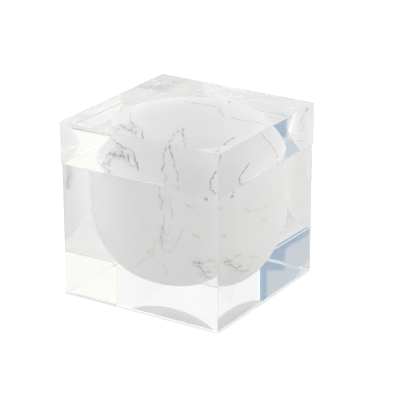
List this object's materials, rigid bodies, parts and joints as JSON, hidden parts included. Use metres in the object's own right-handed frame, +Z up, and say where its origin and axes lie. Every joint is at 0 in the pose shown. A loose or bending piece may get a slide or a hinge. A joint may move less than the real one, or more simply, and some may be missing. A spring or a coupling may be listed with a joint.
{
  "type": "acrylic display cube",
  "caption": "Clear solid acrylic cube box: a base block with a round white marbled bowl bonded inside, and a lift-off lid block with a matching marbled dome.",
  "frame": {"origin": "centre of the base block's underside, on the surface it stands on", "axes": "+Z up along the lid's lift, +X and +Y square to two side faces of the block"},
  "size_m": [0.2052, 0.2052, 0.2049],
  "materials": {
    "clear_acrylic": "polished",
    "white_marble_lining": "gloss"
  },
  "bodies": {
    "base": {"base_block": "clear_acrylic", "bowl_liner": "white_marble_lining"},
    "lid": {"lid_block": "clear_acrylic", "dome_liner": "white_marble_lining"}
  },
  "joints": [
    {"name": "lid_lift", "type": "slide", "parent": "base", "child": "lid", "axis": [0, 0, 1], "range_m": [0, 0.2]}
  ]
}
